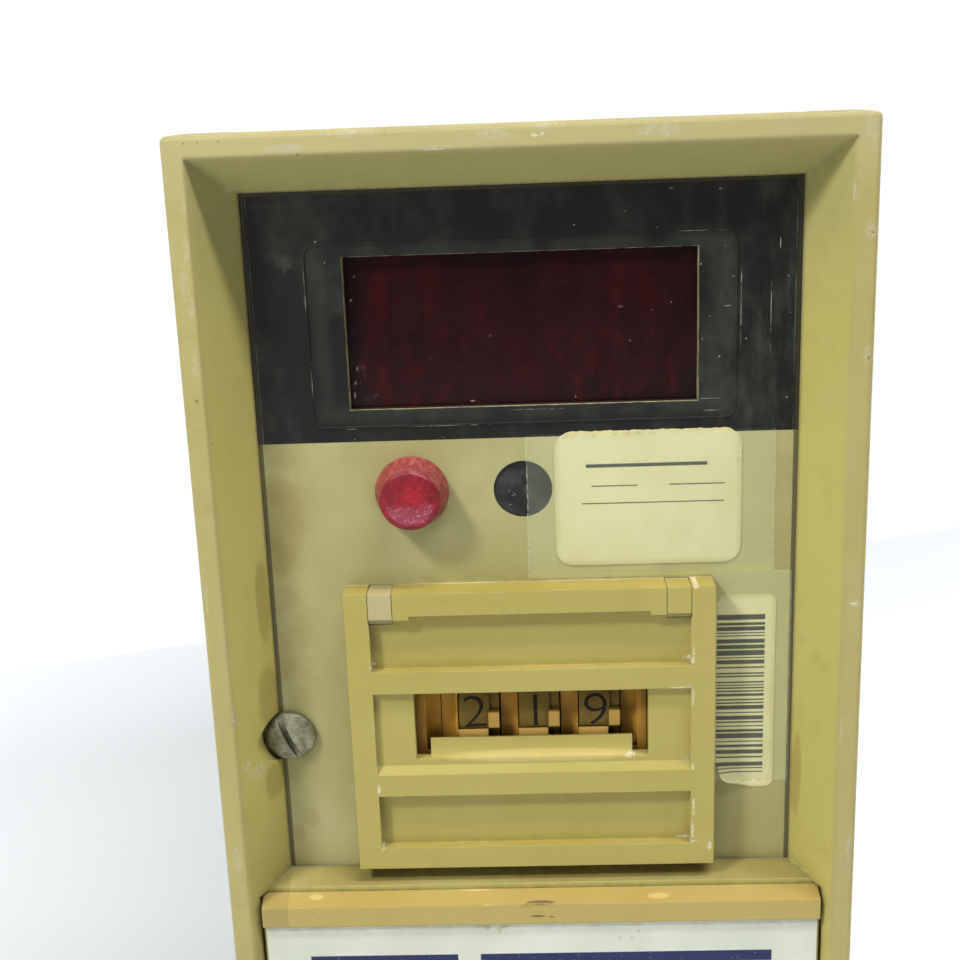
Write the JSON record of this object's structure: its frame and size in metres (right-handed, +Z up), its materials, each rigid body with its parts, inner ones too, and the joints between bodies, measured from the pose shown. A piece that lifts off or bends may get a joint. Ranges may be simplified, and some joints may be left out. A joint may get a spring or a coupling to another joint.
{
  "type": "panel-mounted temperature controller",
  "caption": "Panel temperature controller: recessed face with a display window, lamp and thumbwheel setpoint switch, a drop-down door over trimmers, and a vented case.",
  "frame": {"origin": "middle of the bezel's back, on the face that seats on the instrument panel", "axes": "+X to the right seen from the front, +Y into the panel, +Z up"},
  "size_m": [0.117, 0.193, 0.184],
  "materials": {
    "bezel_moulding": "satin moulded, chipped at the edges",
    "faded_moulding": "satin, faded",
    "case_steel": "grey enamel",
    "zinc_plate": "zinc plated",
    "screw_steel": "dull plated",
    "terminal_brass": "tinned",
    "black_moulding": "satin",
    "connector_green": "satin",
    "panel_ivory": "satin",
    "face_print": "satin film, black at the top",
    "filter_red": "polished",
    "digit_face": "satin",
    "lens_red": "polished",
    "bulb_glass": "clear",
    "smoked_window": "satin",
    "wheel_tan": "satin",
    "switch_brown": "satin",
    "circuit_board": "varnished",
    "card_white": "satin",
    "chip_black": "satin",
    "core_steel": "varnished",
    "coil_tape": "satin",
    "relay_case": "satin",
    "can_blue": "satin",
    "black_anodised": "anodised"
  },
  "bodies": {
    "housing": {"bezel": "bezel_moulding", "thumbwheel_frame": "bezel_moulding", "frame_clip_right": "bezel_moulding", "frame_clip_left": "faded_moulding", "case_sleeve": "case_steel", "rear_cover": "case_steel", "screw_anchor": "case_steel", "bracket_left": "zinc_plate", "bracket_right": "zinc_plate", "chassis_base": "zinc_plate", "chassis_top": "zinc_plate", "rear_screws": "screw_steel", "jack_screws": "screw_steel", "board_posts": "screw_steel", "retaining_screw": "screw_steel", "switch_rods": "screw_steel", "door_pins": "screw_steel", "terminal_screws": "screw_steel", "terminal_plates": "terminal_brass", "terminal_block": "black_moulding", "lamp_holder": "black_moulding", "edge_connectors": "connector_green", "face_panel": "panel_ivory", "control_panel": "panel_ivory", "face_film": "face_print", "display_filter": "filter_red", "display_digit_1": "digit_face", "display_digit_2": "digit_face", "display_digit_3": "digit_face", "display_digit_4": "digit_face", "lamp_lens": "lens_red", "neon_bulb": "bulb_glass", "spare_window": "smoked_window", "switch_body_hundreds": "switch_brown", "switch_body_tens": "switch_brown", "switch_body_units": "switch_brown", "switch_end_left": "switch_brown", "switch_end_right": "switch_brown", "display_board": "circuit_board", "switch_boards": "circuit_board", "trimmer_board": "circuit_board", "main_board": "circuit_board", "power_board": "circuit_board", "main_board_parts": "chip_black", "transformer_core": "core_steel", "transformer_coil": "coil_tape", "relay": "relay_case", "capacitors": "can_blue", "trimmer_bodies": "can_blue", "heat_sink": "black_anodised"},
    "door": {"door": "bezel_moulding", "door_card": "card_white"},
    "wheel_hundreds": {"wheel_hundreds": "wheel_tan"},
    "wheel_tens": {"wheel_tens": "wheel_tan"},
    "wheel_units": {"wheel_units": "wheel_tan"},
    "trimmer_1": {"trimmer_1": "black_moulding"},
    "trimmer_2": {"trimmer_2": "black_moulding"},
    "trimmer_3": {"trimmer_3": "black_moulding"}
  },
  "joints": [
    {"name": "door_hinge", "type": "hinge", "parent": "housing", "child": "door", "pos_m": [0, -0.0114, -0.0865], "axis": [1, 0, 0], "range_deg": [0, 90]},
    {"name": "wheel_hundreds_spin", "type": "hinge", "parent": "housing", "child": "wheel_hundreds", "pos_m": [0, 0.004, -0.00675], "axis": [1, 0, 0], "continuous": true},
    {"name": "wheel_tens_spin", "type": "hinge", "parent": "housing", "child": "wheel_tens", "pos_m": [0, 0.004, -0.00675], "axis": [1, 0, 0], "continuous": true},
    {"name": "wheel_units_spin", "type": "hinge", "parent": "housing", "child": "wheel_units", "pos_m": [0, 0.004, -0.00675], "axis": [1, 0, 0], "continuous": true},
    {"name": "trimmer_1_turn", "type": "hinge", "parent": "housing", "child": "trimmer_1", "pos_m": [-0.024, 0, -0.0622], "axis": [0, 1, 0], "range_deg": [-140, 140]},
    {"name": "trimmer_2_turn", "type": "hinge", "parent": "housing", "child": "trimmer_2", "pos_m": [0, 0, -0.0622], "axis": [0, 1, 0], "range_deg": [-140, 140]},
    {"name": "trimmer_3_turn", "type": "hinge", "parent": "housing", "child": "trimmer_3", "pos_m": [0.024, 0, -0.0622], "axis": [0, 1, 0], "range_deg": [-140, 140]}
  ]
}
